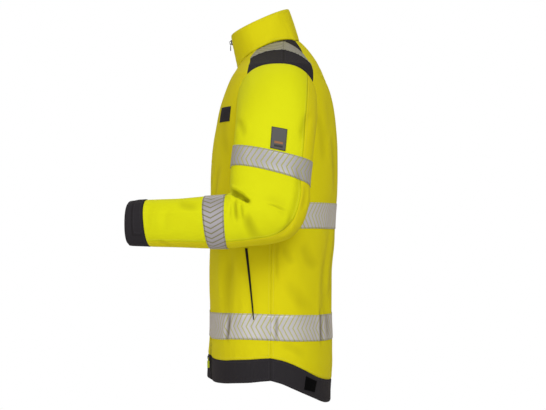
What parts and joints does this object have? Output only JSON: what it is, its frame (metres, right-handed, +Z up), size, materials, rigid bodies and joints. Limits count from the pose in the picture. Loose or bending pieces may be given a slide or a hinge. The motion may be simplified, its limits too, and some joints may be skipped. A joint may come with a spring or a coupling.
{
  "type": "hi-vis work jacket",
  "caption": "Worn-form high-visibility work jacket with stand-up collar, bent two-piece sleeves, dark shoulder yokes, cuffs and dropped hem, and reflective tapes.",
  "frame": {"origin": "middle of the base of the neck, where the wearer's shoulders hold the jacket", "axes": "+X to the wearer's left, +Y to the wearer's back, +Z up"},
  "size_m": [0.6596, 0.4106, 0.7941],
  "materials": {
    "yellow_cloth": "matt fluorescent yellow plain-weave shell cloth with a faint sheen",
    "charcoal_cloth": "matt charcoal hard-wearing shell cloth",
    "reflective_tape": "silver segmented retroreflective tape, slanted chevron bars with cloth showing between",
    "hook_and_loop": "black hook-and-loop fastener, dull and fuzzy",
    "zip_tape": "black woven zip tape with moulded teeth",
    "zip_metal": "dark painted metal slider",
    "pull_plastic": "fluorescent moulded grip",
    "badge_cloth": "grey woven patch with a dark border"
  },
  "bodies": {
    "jacket": {"arm_tape_left": "reflective_tape", "arm_tape_right": "reflective_tape", "back_panel": "yellow_cloth", "back_yoke": "yellow_cloth", "chest_patch": "charcoal_cloth", "chest_tape_back": "reflective_tape", "chest_tape_front_left": "reflective_tape", "chest_tape_front_right": "reflective_tape", "collar": "yellow_cloth", "cuff_left": "charcoal_cloth", "cuff_right": "charcoal_cloth", "cuff_tab_left": "charcoal_cloth", "cuff_tab_right": "charcoal_cloth", "forearm_tape_left": "reflective_tape", "forearm_tape_right": "reflective_tape", "front_left": "yellow_cloth", "front_right": "yellow_cloth", "front_zip": "zip_tape", "hem_back": "charcoal_cloth", "hem_front_left": "charcoal_cloth", "hem_front_right": "charcoal_cloth", "hem_patch_left": "hook_and_loop", "hem_patch_right": "hook_and_loop", "pocket_zip_left": "zip_tape", "pocket_zip_right": "zip_tape", "shoulder_stripe_back_left": "reflective_tape", "shoulder_stripe_back_right": "reflective_tape", "shoulder_stripe_front_left": "reflective_tape", "shoulder_stripe_front_right": "reflective_tape", "sleeve_badge": "badge_cloth", "sleeve_top_left": "yellow_cloth", "sleeve_top_right": "yellow_cloth", "sleeve_under_left": "yellow_cloth", "sleeve_under_right": "yellow_cloth", "waist_tape_back": "reflective_tape", "waist_tape_front_left": "reflective_tape", "waist_tape_front_right": "reflective_tape", "yoke_back_left": "charcoal_cloth", "yoke_back_right": "charcoal_cloth", "yoke_front_left": "charcoal_cloth", "yoke_front_right": "charcoal_cloth", "zip_slider": "zip_metal", "zip_slider_lower": "zip_metal"},
    "upper_pull": {"zip_pull": "zip_metal"},
    "lower_pull": {"zip_pull_lower": "pull_plastic"}
  },
  "joints": [
    {"name": "upper_pull_swing", "type": "hinge", "parent": "jacket", "child": "upper_pull", "pos_m": [0, -0.0864, 0.00331], "axis": [-1, 0, 0], "range_deg": [-8, 150]},
    {"name": "lower_pull_swing", "type": "hinge", "parent": "jacket", "child": "lower_pull", "pos_m": [0, -0.1318, -0.63799], "axis": [-1, 0, 0], "range_deg": [-2, 150]}
  ]
}
